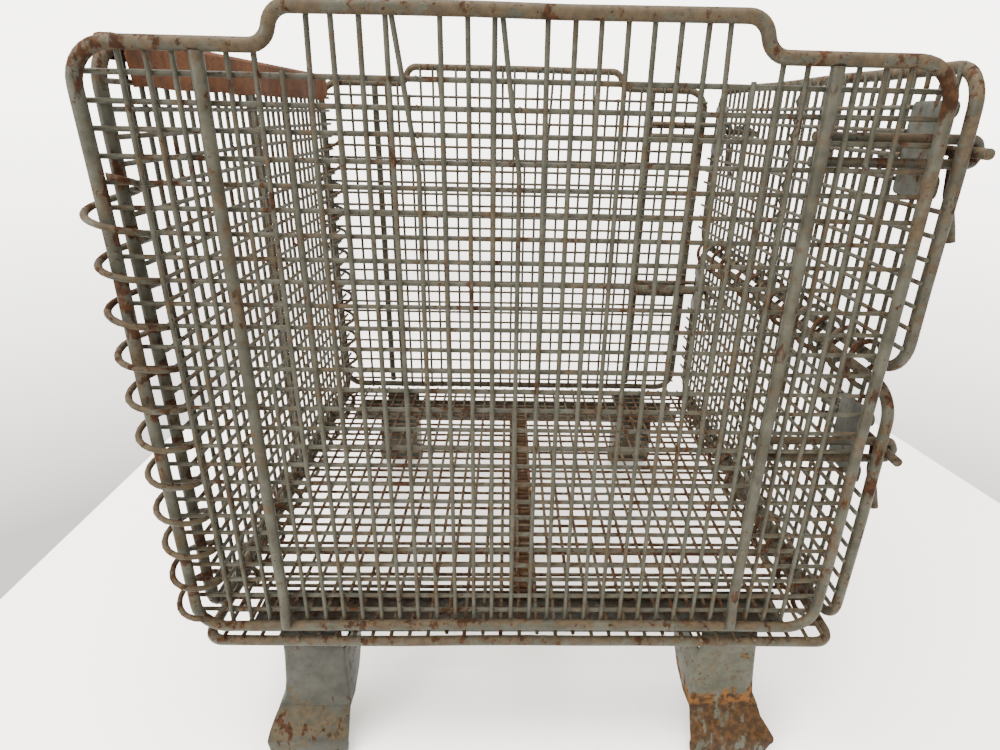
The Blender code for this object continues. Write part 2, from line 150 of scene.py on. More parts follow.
def bent_rod(name, corners, bends, radius, sides=12, closed=False, segment=40 * mm):
    """A round rod that is drawn out leg by leg from a disc, and spun about a centre at each bend."""
    corners = [Vector(corner) for corner in corners]
    start = (corners[0] + corners[-1]) / 2 if closed else corners.pop(0)
    end = start if closed else corners.pop()
    bends = list(bends) if closed else list(bends)[:len(corners)]
    here = start
    heading = ((corners + [end])[0] - here).normalized()
    deselect()
    bpy.ops.mesh.primitive_circle_add(vertices=sides, radius=radius, location=here,
                                      rotation=heading.to_track_quat("Z", "Y").to_euler(),
                                      fill_type="NOTHING" if closed else "NGON")
    rod = bpy.context.object
    rod.name = rod.data.name = name
    bpy.ops.object.transform_apply(location=True, rotation=True, scale=True)
    bpy.ops.object.mode_set(mode="EDIT")
    bpy.ops.mesh.select_all(action="SELECT")

    def draw_out(length):
        count = max(1, round(length / segment))
        for _ in range(count):
            bpy.ops.mesh.extrude_region_move(
                TRANSFORM_OT_translate={"value": heading * length / count})

    for corner, onward, bend in zip(corners, corners[1:] + [end], bends):
        onward = (onward - corner).normalized()
        turn = heading.angle(onward)
        setback = bend * math.tan(turn / 2)
        draw_out((corner - here).length - setback)
        axis = heading.cross(onward).normalized()
        centre = corner - heading * setback + axis.cross(heading) * bend
        steps = max(2, round(math.degrees(turn) / 11))
        bpy.ops.mesh.spin(steps=steps, angle=-turn, center=centre, axis=axis)
        here = corner + onward * setback
        heading = onward
    draw_out((end - here).length)
    bpy.ops.mesh.select_all(action="SELECT")
    bpy.ops.mesh.remove_doubles(threshold=0.02 * mm)
    bpy.ops.mesh.normals_make_consistent(inside=False)
    bpy.ops.object.mode_set(mode="OBJECT")
    bpy.ops.object.shade_smooth_by_angle(angle=math.radians(50))
    return rod


def joined(name, pieces):
    """Several meshes as one piece."""
    deselect()
    for piece in pieces:
        piece.select_set(True)
    bpy.context.view_layer.objects.active = pieces[0]
    bpy.ops.object.join()
    pieces[0].name = pieces[0].data.name = name
    return pieces[0]


def uneven(piece, amount, reach=70 * mm):
    """Slow dents and bows of the given size, from years of being knocked about."""
    for point in piece.data.vertices:
        point.co += amount * noise.noise_vector(point.co / reach)
    return piece


class Value:
    """One output of a shader node, on which sums, products and further nodes are written."""

    def __init__(self, tree, socket):
        self.tree = tree
        self.socket = socket

    def node(self, kind, values, out=0, **settings):
        """Adds a node, with its settings first and then its inputs, and returns one of its outputs."""
        made = self.tree.nodes.new(kind)
        for key, setting in settings.items():
            setattr(made, key, setting)
        for key, value in values.items():
            if isinstance(value, Value):
                self.tree.links.new(value.socket, made.inputs[key])
            else:
                made.inputs[key].default_value = value
        return Value(self.tree, made.outputs[out])

    def part(self, index):
        """The x, y or z of a vector, as 0, 1 or 2."""
        return self.node("ShaderNodeSeparateXYZ", {0: self}, out=index)

    def math(self, operation, *others):
        values = {index: other for index, other in enumerate((self, *others))}
        return self.node("ShaderNodeMath", values, operation=operation)

    def __add__(self, other):
        return self.math("ADD", other)

    def __sub__(self, other):
        return self.math("SUBTRACT", other)

    def __rsub__(self, other):
        return (self * -1).math("ADD", other)

    def __mul__(self, other):
        return self.math("MULTIPLY", other)

    __radd__, __rmul__ = __add__, __mul__

    def above(self, low, high):
        """0 below low, 1 above high, and smooth between."""
        return self.node("ShaderNodeMapRange", {0: self, 1: low, 2: high},
                         interpolation_type="SMOOTHSTEP")

    def below(self, low, high):
        """1 below low, 0 above high, and smooth between."""
        return 1 - self.above(low, high)

    def noise(self, scale, detail, roughness=0.6, shift=(0, 0, 0), stretch=(1, 1, 1)):
        """Noise at this many features to the metre, on these coordinates."""
        place = self.node("ShaderNodeMapping", {"Vector": self, "Location": shift, "Scale": stretch})
        return self.node("ShaderNodeTexNoise", {"Vector": place, "Scale": scale, "Detail": detail,
                                                "Roughness": roughness})

    def tint(self, plain, tinted):
        """plain where this value is 0 and tinted where it is 1."""
        values = {0: self}
        for index, colour in ((6, plain), (7, tinted)):
            values[index] = colour if isinstance(colour, Value) else (*colour, 1)
        return self.node("ShaderNodeMix", values, out=2, data_type="RGBA")


def new_finish(name):
    """An empty material, its surface coordinates, and its shader."""
    made = bpy.data.materials.new(name)
    made.use_nodes = True
    tree = made.node_tree
    shader = tree.nodes["Principled BSDF"]
    coordinates = Value(tree, tree.nodes.new("ShaderNodeTexCoord").outputs["Object"])
    return made, coordinates, shader


def connect(shader, **values):
    """Sets or links the shader's inputs, which are named with _ for each space."""
    for key, value in values.items():
        socket = shader.inputs[key.replace("_", " ")]
        if isinstance(value, Value):
            value.tree.links.new(value.socket, socket)
        else:
            socket.default_value = value


def weathered_paint(name, paint=(0.029, 0.0281, 0.0190), wear=0.5, rust=0.5, top_wear_and_light=0.25, spots=0.5,
                    extra_rust_and_shadow=None, extra_wear=None, rust_colour=(0.033, 0.0125, 0.0048),
                    low_rust_colour=None, worn_colour=(0.047, 0.032, 0.017)):
    """Grey-green paint, chalky and uneven, worn through to beige-brown, with dark rust spots and runs.

    wear, rust and spots are from 0, none, to 1, nearly everywhere. The upper-face setting adds beige
    to upper faces: partly wear, and partly painted light from above.
    The extra rust and extra wear settings are functions from coordinates to a value that is added to
    the rust or the wear; the extra rust also carries painted shadow, drawn as dark rust.
    low_rust_colour is the colour of the rust near the floor, where it differs.
    """
    made, place, shader = new_finish(name)
    upward = place.node("ShaderNodeNewGeometry", {}, out="Normal").part(2)

    cloud = place.noise(22, detail=3)
    patches = place.noise(95, detail=6, roughness=0.68, shift=(0.3, 0.1, 0.7)) + 0.35 * (cloud - 0.5)
    worn_edge = 0.72 - 0.30 * wear
    # Upper faces get more of the beige: partly wear, partly painted light from above.
    worn = patches + top_wear_and_light * 0.5 * upward.above(0.0, 1.0)
    if extra_wear:
        worn = worn + extra_wear(place)
    worn = worn.above(worn_edge - 0.05, worn_edge + 0.07)

    runs = place.noise(150, detail=4, shift=(1.7, 0.4, 0.2), stretch=(1, 1, 0.35))
    clumps = place.noise(34, detail=2, shift=(0.9, 2.1, 0.3))
    rust_edge = 0.80 - 0.28 * rust
    rust_and_shadow = runs + 0.45 * (clumps - 0.5) + 0.08 * worn
    # The extra rust can carry painted shadow as well as rust.
    if extra_rust_and_shadow:
        rust_and_shadow = rust_and_shadow + extra_rust_and_shadow(place)
    rust_and_shadow = rust_and_shadow.above(rust_edge - 0.03, rust_edge + 0.06)

    fleck = place.noise(420, detail=2, shift=(0.2, 1.3, 2.7)) + 0.25 * (clumps - 0.5)
    fleck_edge = 0.78 - 0.20 * spots
    fleck = fleck.above(fleck_edge, fleck_edge + 0.05)

    chalk = place.noise(60, detail=5, roughness=0.7, shift=(2.2, 0.8, 1.1))
    lighter = tuple(1.22 * part + 0.010 for part in paint)
    darker = tuple(0.74 * part for part in paint)
    colour = chalk.above(0.30, 0.70).tint(darker, lighter)
    grime = place.noise(240, detail=4, shift=(0.5, 0.5, 0.9))
    beige = grime.above(0.35, 0.65).tint(tuple(0.62 * part for part in worn_colour), worn_colour)
    colour = (worn * 0.85).tint(colour, beige)
    deep = tuple(0.42 * part for part in low_rust_colour or rust_colour)
    fresh = rust_colour
    if low_rust_colour:
        height = place.part(2)
        fresh = height.below(34 * mm, 46 * mm).tint(rust_colour, low_rust_colour)
    brown = grime.above(0.40, 0.62).tint(deep, fresh)
    colour = (rust_and_shadow * 0.92).tint(colour, brown)
    colour = (fleck * 0.85).tint(colour, brown)

    roughness = 0.46 + 0.22 * worn + 0.36 * rust_and_shadow.math("MAXIMUM", fleck)
    relief = 0.35 * grime + 0.30 * rust_and_shadow + 0.25 * fleck - 0.35 * worn
    bump = place.node("ShaderNodeBump", {"Height": relief, "Strength": 0.55, "Distance": 0.35 * mm})
    connect(shader, Base_Color=colour, Roughness=roughness, Normal=bump, Specular_IOR_Level=0.14)
    return made


def fit(piece, body, slot, finish, *nodes):
    """Gives a piece its finish, hides the plain nodes that it stands for, and ties it to its body."""
    piece.data.materials.clear()
    piece.data.materials.append(finish)
    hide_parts(*nodes)
    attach(piece, body)
    return piece


low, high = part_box("base_frame")
rod_radius = (high.z - low.z) / 2
base_z = (low.z + high.z) / 2
base_x = high.x - rod_radius
base_y = high.y - rod_radius
base_corners = [(-base_x, -base_y, base_z), (base_x, -base_y, base_z),
                (base_x, base_y, base_z), (-base_x, base_y, base_z)]
base_rod = bent_rod("base_rod", base_corners, [12 * mm] * 4, rod_radius, closed=True)
uneven(base_rod, 0.8 * mm)
base_paint = weathered_paint("base_paint", wear=0.62, rust=0.52, top_wear_and_light=0.3, spots=0.6)
fit(base_rod, "base", "paint", base_paint, "base_frame")


# Base floor: drawn wires both ways on a half-inch pitch, resistance welded where they cross. The long
# wires lie on the base rod with cut ends over it. The floor has lost most of its paint to brown rust.
def wires(name, ends, radius=1.4 * mm, bow=0.45 * mm, shift=0.3 * mm):
    """Wires that are copies of one modelled wire, each laid between its two ends with small errors."""
    model = bent_rod(name, [(0, 0, 0), (0, 0, 1)], [], radius, sides=8, segment=0.2)
    chance = random.Random(name)
    copies = []
    for start, end in ends:
        wire = model.copy()
        wire.data = model.data.copy()
        bpy.context.collection.objects.link(wire)
        lean = [chance.uniform(-bow, bow) for _ in range(2)]
        for point in wire.data.vertices:
            swell = math.sin(math.pi * point.co.z)
            point.co.x += lean[0] * swell
            point.co.y += lean[1] * swell
        errors = [Vector([chance.uniform(-shift, shift) for _ in range(3)]) for _ in range(2)]
        start, end = Vector(start) + errors[0], Vector(end) + errors[1]
        along = end - start
        turn = along.to_track_quat("Z", "Y").to_matrix().to_4x4()
        stretch = Matrix.Diagonal((1, 1, along.length, 1))
        wire.data.transform(Matrix.Translation(start) @ turn @ stretch)
        copies.append(wire)
    bpy.data.objects.remove(model)
    return joined(name, copies)


def weld_nuggets(name, first, steps, counts, size):
    """The flattened lumps where crossing wires were melted into each other, in a grid."""
    deselect()
    bpy.ops.mesh.primitive_ico_sphere_add(subdivisions=1, radius=1, location=(0, 0, 0))
    nuggets = bpy.context.object
    nuggets.name = nuggets.data.name = name
    each = len(nuggets.data.vertices)
    nuggets.data.transform(Matrix.Translation(first) @ Matrix.Diagonal((*size, 1)))
    for step, count in zip(steps, counts):
        grid = nuggets.modifiers.new("grid", "ARRAY")
        grid.use_relative_offset = False
        grid.use_constant_offset = True
        grid.constant_offset_displace = step
        grid.count = count
        bpy.ops.object.modifier_apply(modifier=grid.name)
    chance = random.Random(name)
    points = nuggets.data.vertices
    for group in range(0, len(points), each):
        middle = sum((points[k].co for k in range(group, group + each)), Vector()) / each
        swell = chance.uniform(0.75, 1.2)
        for k in range(group, group + each):
            points[k].co = middle + (points[k].co - middle) * swell
    bpy.ops.object.shade_smooth_by_angle(angle=math.radians(60))
    return nuggets


pitch = 12.7 * mm
floor_pitch = 12.4 * mm
first_cross_y = -188.5 * mm
long_z = base_z + 3.9 * mm
cross_z = long_z - 2.5 * mm
long_xs = [-206.2 * mm + k * pitch for k in range(34)]
cross_ys = [first_cross_y + k * floor_pitch for k in range(32)]
chance = random.Random("floor")
long_wires = wires("floor_long", [
    ((x, -base_y + chance.uniform(-2.5, 3.0) * mm - (3 * mm if x > 120 * mm else 0), long_z),
     (x, base_y + chance.uniform(-2, 2) * mm, long_z)) for x in long_xs])
cross_wires = wires("floor_cross", [((-base_x - 1 * mm, y, cross_z), (base_x + 1 * mm, y, cross_z))
                                    for y in cross_ys])
floor_welds = weld_nuggets("floor_welds", (long_xs[0], cross_ys[0], long_z - 1.3 * mm),
                           [(pitch, 0, 0), (0, floor_pitch, 0)], [len(long_xs), len(cross_ys)],
                           (1.7 * mm, 1.7 * mm, 1.4 * mm))
floor_mesh = joined("floor_wires", [long_wires, cross_wires, floor_welds])
floor_rust = weathered_paint("floor_rust", wear=0.85, rust=0.78, top_wear_and_light=0.2, spots=0.75,
                             paint=(0.027, 0.0252, 0.0168), rust_colour=(0.033, 0.0130, 0.0048))
fit(floor_mesh, "base", "paint", floor_rust, "base_mesh")


# Base channels and strap: two channels of 2 mm sheet, folded to open upwards, run under the front and
# back wires of the floor, and a flat strap joins their middles. The channels keep some of their paint,
# and the strap is brown with dry rust.
def rusty_sheet(name, light=(0.056, 0.022, 0.009), dark=(0.021, 0.0078, 0.0035), streaks=(1, 1, 0.3)):
    """Dry rust on sheet steel: red-brown, darker in patches and streaks, with traces of pale dust."""
    made, place, shader = new_finish(name)
    broad = place.noise(26, detail=5, roughness=0.65)
    fine = place.noise(190, detail=5, roughness=0.7, stretch=streaks)
    colour = (0.55 * broad + 0.45 * fine).above(0.36, 0.62).tint(dark, light)
    dust = place.noise(75, detail=6, roughness=0.75, shift=(0.4, 1.9, 0.6)).above(0.56, 0.72)
    colour = (dust * 0.5).tint(colour, tuple(1.5 * part for part in light))
    pits = place.noise(380, detail=2, shift=(1.1, 0.2, 0.8)).above(0.58, 0.70)
    colour = (pits * 0.75).tint(colour, tuple(0.5 * part for part in dark))
    bump = place.node("ShaderNodeBump", {"Height": 0.6 * fine - 0.5 * pits, "Strength": 0.5,
                                         "Distance": 0.4 * mm})
    roughness = 0.72 + 0.2 * broad
    connect(shader, Base_Color=colour, Roughness=roughness, Normal=bump, Specular_IOR_Level=0.14)
    return made


def folded_channel(name, low, high, thick=2 * mm):
    """A strip drawn up at both long edges with small fold radii, then given its sheet thickness."""
    deselect()
    middle = ((low.x + high.x) / 2, (low.y + high.y) / 2, low.z + thick / 2)
    bpy.ops.mesh.primitive_plane_add(size=1, location=middle)
    sheet = bpy.context.object
    sheet.name = sheet.data.name = name
    sheet.scale = (high.x - low.x, high.y - low.y - thick, 1)
    bpy.ops.object.transform_apply(location=True, rotation=True, scale=True)
    bpy.ops.object.mode_set(mode="EDIT")
    for side in (-1, 1):
        bpy.ops.mesh.select_all(action="DESELECT")
        bpy.ops.mesh.select_mode(type="EDGE")
        bpy.ops.object.mode_set(mode="OBJECT")
        edge_y = middle[1] + side * (high.y - low.y - thick) / 2
        for edge in sheet.data.edges:
            ends = [sheet.data.vertices[k].co for k in edge.vertices]
            edge.select = all(abs(end.y - edge_y) < 0.1 * mm and end.z < middle[2] + mm
                              for end in ends)
        bpy.ops.object.mode_set(mode="EDIT")
        bpy.ops.mesh.extrude_region_move(TRANSFORM_OT_translate={"value": (0, 0, high.z - middle[2])})
    bpy.ops.mesh.select_all(action="SELECT")
    bpy.ops.mesh.normals_make_consistent(inside=False)
    bpy.ops.object.mode_set(mode="OBJECT")
    return thickened(sheet, thick)


def thickened(sheet, thick, fold=1.6 * mm, edge=0.35 * mm):
    """A sheet surface given rounded folds, its thickness, and softened cut edges."""
    for kind, settings in (("BEVEL", {"width": fold, "segments": 3, "angle_limit": math.radians(20)}),
                           ("SOLIDIFY", {"thickness": thick, "offset": 0}),
                           ("BEVEL", {"width": edge, "segments": 2, "angle_limit": math.radians(60)})):
        step = sheet.modifiers.new(kind.lower(), kind)
        for key, setting in settings.items():
            setattr(step, key, setting)
        bpy.ops.object.modifier_apply(modifier=step.name)
    bpy.ops.object.shade_smooth_by_angle(angle=math.radians(40))
    return sheet


channel_rust = weathered_paint("channel_rust", wear=0.5, rust=0.50, spots=0.55,
                               paint=(0.024, 0.025, 0.020), worn_colour=(0.024, 0.016, 0.009))
for end in ("front", "back"):
    low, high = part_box(f"base_{end}_channel")
    channel = uneven(folded_channel(f"base_{end}_trough", low, high), 0.4 * mm)
    fit(channel, "base", "rusty_wire", channel_rust, f"base_{end}_channel")

low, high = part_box("base_centre_strap")
deselect()
bpy.ops.mesh.primitive_grid_add(x_subdivisions=2, y_subdivisions=24, size=1,
                                location=(low + high) / 2)
strap = bpy.context.object
strap.name = strap.data.name = "base_strap"
strap.scale = (high.x - low.x, high.y - low.y, 1)
bpy.ops.object.transform_apply(location=True, rotation=True, scale=True)
uneven(thickened(strap, high.z - low.z), 0.6 * mm)
strap_rust = rusty_sheet("strap_rust", light=(0.046, 0.024, 0.009), dark=(0.017, 0.0075, 0.0036))
fit(strap, "base", "rust", strap_rust, "base_centre_strap")


# Feet: each is one 2 mm blank. Its face is welded behind the base rod, two flanges fold back into a
# channel, and below a fold the sheet flares out into a wide stacking lip with rounded corners. The
# front feet have been knocked: their flanges lean in, and the right lip is bent out at its corner.
face_rows = {111: 168.5, 93: 169.5, 78: 170.5, 62: 172, 48: 174, 38: 179}
flange_reach = {93: 1.0, 78: 1.0, 62: 0.93, 48: 0.66, 38: 0.27}
plain_lip = [(30, 0.30, 183), (22, 0.68, 186), (16, 1.0, 187.5), (11, 1.0, 187), (5, 1.0, 186),
             (0, 1.0, 181)]
bent_lip = [(30, 0.30, 182), (22, 0.70, 188), (18, 0.95, 191), (15, 1.04, 191.5), (11, 1.0, 189),
            (5, 1.0, 187), (0, 1.0, 181)]


def foot_sheet(name, side, facing, low, high, lip, lean):
    """The foot as a surface: face, flare and lip drawn down from the tab, flanges drawn back.

    The face's rows are heights and outer edges, and the lip's are heights, shares of the way from the
    face to the lip, and outer edges, all in millimetres. lean is how far the inner flange leans in.
    """
    outermost = max(abs(low.y), abs(high.y))
    face_y = facing * (outermost - 13.7 * mm)
    lip_y = facing * (outermost - 1 * mm)
    depth = abs(face_y) - min(abs(low.y), abs(high.y))
    inner, outer = side * 128 * mm, side * 174 * mm
    close = 0.1 * mm
    flange_foot, flange_head = 37 * mm, 94 * mm
    heights = list(face_rows)
    deselect()
    bpy.ops.mesh.primitive_plane_add(size=1, location=(0, 0, 0))
    sheet = bpy.context.object
    sheet.name = sheet.data.name = name
    corners = [(inner, face_y, heights[1] * mm), (outer, face_y, heights[1] * mm),
               (inner, face_y, heights[0] * mm), (outer, face_y, heights[0] * mm)]
    for point, corner in zip(sheet.data.vertices, corners):
        point.co = corner

    def draw(edge_test, move):
        bpy.ops.object.mode_set(mode="EDIT")
        bpy.ops.mesh.select_mode(type="EDGE")
        bpy.ops.mesh.select_all(action="DESELECT")
        bpy.ops.object.mode_set(mode="OBJECT")
        for edge in sheet.data.edges:
            edge.select = all(edge_test(sheet.data.vertices[k].co) for k in edge.vertices)
        bpy.ops.object.mode_set(mode="EDIT")
        bpy.ops.mesh.extrude_region_move(TRANSFORM_OT_translate={"value": move})
        bpy.ops.object.mode_set(mode="OBJECT")
        return [point for point in sheet.data.vertices if point.select]

    for top, bottom in zip(heights[1:], heights[2:]):
        draw(lambda p: abs(p.z - top * mm) < close, (0, 0, (bottom - top) * mm))
    last = heights[-1]
    for z, out, outer_edge in lip:
        for point in draw(lambda p: abs(p.z - last * mm) < close, (0, 0, (z - last) * mm)):
            point.co.y = face_y + (lip_y - face_y) * out
            if abs(point.co.x - inner) < abs(point.co.x - outer):
                rounding = 4 * mm if z == 0 else 1 * mm if z < 6 else 0
                point.co.x = inner + side * rounding
            else:
                point.co.x = side * outer_edge * mm
        last = z

    for edge_x in (inner, outer):
        drawn = draw(lambda p: (abs(p.x - edge_x) < close and abs(p.y - face_y) < close
                                and flange_foot < p.z < flange_head), (0, -facing * mm, 0))
        for point in drawn:
            reach = flange_reach[round(point.co.z / mm)]
            point.co.y = face_y - facing * reach * depth
            if edge_x == inner:
                point.co.x -= side * lean * reach
    for point in sheet.data.vertices:
        if abs(point.co.x - outer) < close and point.co.z > flange_foot:
            point.co.x = side * face_rows[round(point.co.z / mm)] * mm
    bpy.ops.object.mode_set(mode="EDIT")
    bpy.ops.mesh.select_all(action="SELECT")
    bpy.ops.mesh.normals_make_consistent(inside=False)
    bpy.ops.object.mode_set(mode="OBJECT")
    return sheet


def low_band(top, bottom, strength):
    """Rust that rises from nothing at one height to its full strength at a lower one."""
    def rise(place):
        height = place.part(2)
        return height.below(bottom, top) * strength
    return rise


right_foot_paint = weathered_paint("foot_rust", wear=0.40, rust=0.40, spots=0.85, top_wear_and_light=0.1,
                                   paint=(0.031, 0.0320, 0.0212),
                                   extra_rust_and_shadow=low_band(64 * mm, 36 * mm, 0.30),
                                   rust_colour=(0.105, 0.042, 0.008),
                                   low_rust_colour=(0.043, 0.0195, 0.0056))
left_foot_paint = weathered_paint("foot_paint", wear=0.40, rust=0.38, spots=0.55, top_wear_and_light=0.35,
                                  paint=(0.0168, 0.0173, 0.0128),
                                  extra_rust_and_shadow=low_band(32 * mm, 20 * mm, 0.06),
                                  extra_wear=low_band(44 * mm, 30 * mm, 0.09),
                                  worn_colour=(0.044, 0.034, 0.0185))
back_foot_paint = weathered_paint("back_foot_paint", wear=0.5, rust=0.55, spots=0.5,
                                  paint=(0.020, 0.020, 0.0150))
for end, side_name, lip, lean, finish in (
        ("front", "left", plain_lip, 1.5 * mm, left_foot_paint),
        ("front", "right", bent_lip, 5.0 * mm, right_foot_paint),
        ("back", "left", plain_lip, 0, back_foot_paint),
        ("back", "right", plain_lip, 0, back_foot_paint)):
    side, facing = (-1 if side_name == "left" else 1), (-1 if end == "front" else 1)
    node = f"{end}_{side_name}_foot"
    sheet = foot_sheet(f"{end}_{side_name}_stand", side, facing, *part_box(node), lip, lean)
    uneven(thickened(sheet, 2 * mm, fold=1.4 * mm), 0.5 * mm, reach=45 * mm)
    fit(sheet, "base", "paint", finish, node)


# Left wall: a loop of the same rod with welded wires both ways on its inner side. It hangs in coils
# from the base and both end panels, and a narrow flat stiffener stands on edge half way along it.
row = 12.9 * mm
corner_bend = 20 * mm
upright_depth, weld_depth, row_depth = 3.3 * mm, 4.8 * mm, 6.0 * mm
overhang = 1.5 * mm


def wall_mesh(name, frame_x, inward, reach, bottom, top, upright_ys, row_zs, breaks=()):
    """Uprights against the frame, level wires inside them, and the welds where they cross.

    breaks lists (y, low z, high z) gaps from an end of the wall up to y, where no wire runs.
    """
    upright_x = frame_x + inward * upright_depth
    row_x = frame_x + inward * row_depth

    def in_break(y, z):
        return any(abs(y) > near and below < z < above for near, below, above in breaks)

    uprights = []
    for y in upright_ys:
        cuts = [(below, above) for near, below, above in breaks if abs(y) > near]
        start = bottom - overhang
        for below, above in cuts:
            uprights.append(((upright_x, y, start), (upright_x, y, below)))
            start = above
        uprights.append(((upright_x, y, start), (upright_x, y, top + overhang)))
    rows = []
    for z in row_zs:
        near = min([reach + 3 * mm] + [near for near, below, above in breaks if below < z < above])
        rows.append(((row_x, -near, z), (row_x, near, z)))
    step_y, step_z = upright_ys[1] - upright_ys[0], row_zs[1] - row_zs[0]
    welds = weld_nuggets(f"{name}_welds", (frame_x + inward * weld_depth, upright_ys[0], row_zs[0]),
                         [(0, step_y, 0), (0, 0, step_z)], [len(upright_ys), len(row_zs)],
                         (1.5 * mm, 1.7 * mm, 1.7 * mm))
    if breaks:
        bpy.ops.object.mode_set(mode="EDIT")
        bpy.ops.mesh.select_mode(type="VERT")
        bpy.ops.mesh.select_all(action="DESELECT")
        bpy.ops.object.mode_set(mode="OBJECT")
        for point in welds.data.vertices:
            point.select = in_break(point.co.y, point.co.z)
        bpy.ops.object.mode_set(mode="EDIT")
        bpy.ops.mesh.select_linked()
        bpy.ops.mesh.delete(type="VERT")
        bpy.ops.object.mode_set(mode="OBJECT")
    return joined(name, [wires(f"{name}_uprights", uprights), wires(f"{name}_rows", rows), welds])


coil_wire = 1.9 * mm
coil_lead = 2 * row
coil_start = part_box("front_left_coil")[0].z + coil_wire
coil_end = 408 * mm


def coil_shadow_bands(place):
    """Painted shadow, in rust colour, on the left corners' upright rods under each coil turn."""
    across = place.part(0)
    height = place.part(2)
    phase = ((height - coil_start) * (1 / coil_lead)).math("FRACT")
    band = phase.above(0.56, 0.66) * phase.below(0.92, 1.0)
    span = height.above(coil_start - 9 * mm, coil_start) * height.below(coil_end, coil_end + 6 * mm)
    return band * span * across.below(-214 * mm, -208 * mm) * 0.16


def worn_at_the_top(place):
    """Wear on the rods that everything is lifted over."""
    height = place.part(2)
    return height.above(448 * mm, 470 * mm) * 0.11


wire_paint = weathered_paint("wire_paint", wear=0.60, rust=0.50, spots=0.66, top_wear_and_light=0.12)
rod_paint = weathered_paint("rod_paint", wear=0.58, rust=0.52, spots=0.6, top_wear_and_light=0.2)
# The dark bands under the coil turns on this rod are painted shadow of the coils.
wall_rod_paint = weathered_paint("wall_rod_paint", wear=0.62, rust=0.54, spots=0.6, top_wear_and_light=0.2,
                                 extra_rust_and_shadow=coil_shadow_bands, extra_wear=worn_at_the_top)
stiffener_paint = weathered_paint("stiffener_paint", wear=0.78, rust=0.42, spots=0.7,
                                  worn_colour=(0.058, 0.044, 0.024))

low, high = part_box("left_wall_frame")
wall_x = (low.x + high.x) / 2
wall_reach = high.y - rod_radius
wall_bottom, wall_top = low.z + rod_radius, high.z - rod_radius
wall_corners = [(wall_x, -wall_reach, wall_bottom), (wall_x, wall_reach, wall_bottom),
                (wall_x, wall_reach, wall_top), (wall_x, -wall_reach, wall_top)]
wall_rod = bent_rod("left_wall_rod", wall_corners, [corner_bend] * 4, rod_radius, closed=True)
uneven(wall_rod, 0.8 * mm)
fit(wall_rod, "left_wall", "paint", wall_rod_paint, "left_wall_frame")

upright_ys = [(k - 13.5) * pitch for k in range(28)]
row_zs = [wall_bottom + 18.4 * mm + k * row for k in range(26)]
wall_wires = wall_mesh("left_wall_wires", wall_x, 1, wall_reach, wall_bottom, wall_top, upright_ys,
                       row_zs)
fit(wall_wires, "left_wall", "paint", wire_paint, "left_wall_mesh")


def stiffener(name, node, inward):
    """A flat strip on edge, its inner edge nibbled half-round between the level wires across it."""
    low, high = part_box(node)
    deselect()
    count = round((high.z - low.z) / (row / 6))
    bpy.ops.mesh.primitive_grid_add(x_subdivisions=1, y_subdivisions=count, size=1, location=(0, 0, 0))
    strip = bpy.context.object
    strip.name = strip.data.name = name
    outer_x, inner_x = (low.x, high.x) if inward > 0 else (high.x, low.x)
    for point in strip.data.vertices:
        share = point.co.y + 0.5
        z = low.z + share * (high.z - low.z)
        if point.co.x > 0:
            phase = ((z - low.z) / row) % 1
            nibble = (0.6 - 2.6 * math.sin(math.pi * phase)) * mm
            point.co = (inner_x + inward * nibble, 0, z)
        else:
            point.co = (outer_x, 0, z)
    return thickened(strip, high.y - low.y, edge=0.25 * mm)


fit(stiffener("left_wall_strip", "left_wall_stiffener", 1), "left_wall", "worn_paint", stiffener_paint,
    "left_wall_stiffener")


# Top plate: a strip of thin sheet, folded over the left wall's top rod and hanging inside it. It is
# bare and red-brown with rust, buckled along its lower edge, and its far lower corner is cut away.
low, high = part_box("left_wall_top_plate")
deselect()
bpy.ops.mesh.primitive_grid_add(x_subdivisions=48, y_subdivisions=10, size=1, location=(0, 0, 0))
plate = bpy.context.object
plate.name = plate.data.name = "rusty_top_plate"
half = 0.75 * mm
section = [(high.x - half, low.z), (high.x - half, low.z + 7 * mm), (high.x - half, low.z + 14 * mm),
           (high.x - half, high.z - 3 * mm), (high.x - 2.2 * mm, high.z - 1.2 * mm),
           (high.x - 5 * mm, high.z - half), (low.x + 5 * mm, high.z - half),
           (low.x + 2.2 * mm, high.z - 1.2 * mm), (low.x + half, high.z - 3 * mm),
           (low.x + half, high.z - 8 * mm), (low.x + half, high.z - 12 * mm)]
inner_fall = 18 * mm
for point in plate.data.vertices:
    along = point.co.x + 0.5
    x, z = section[round((point.co.y + 0.5) * 10)]
    hang = max(0, 1 - (z - low.z) / inner_fall)
    ragged_end = 2.0 * mm * math.sin(z / mm * 1.7) * (1 - along) ** 3
    buckle = 1.5 * mm * math.sin(along * 19) + 0.8 * mm * math.sin(along * 53)
    cut_corner = max(0, along - 0.965) * 190 * mm
    y = low.y + along * (high.y - low.y) + ragged_end
    x += hang * buckle
    z += hang * (1.6 * mm * noise.noise(Vector((along * 12, 0, 3))) + cut_corner)
    point.co = (x, y, z)
thickened(plate, 1.4 * mm, fold=0.4 * mm)
plate_rust = rusty_sheet("plate_rust", light=(0.078, 0.030, 0.0110), dark=(0.030, 0.0112, 0.0042))
fit(plate, "left_wall", "rust", plate_rust, "left_wall_top_plate")


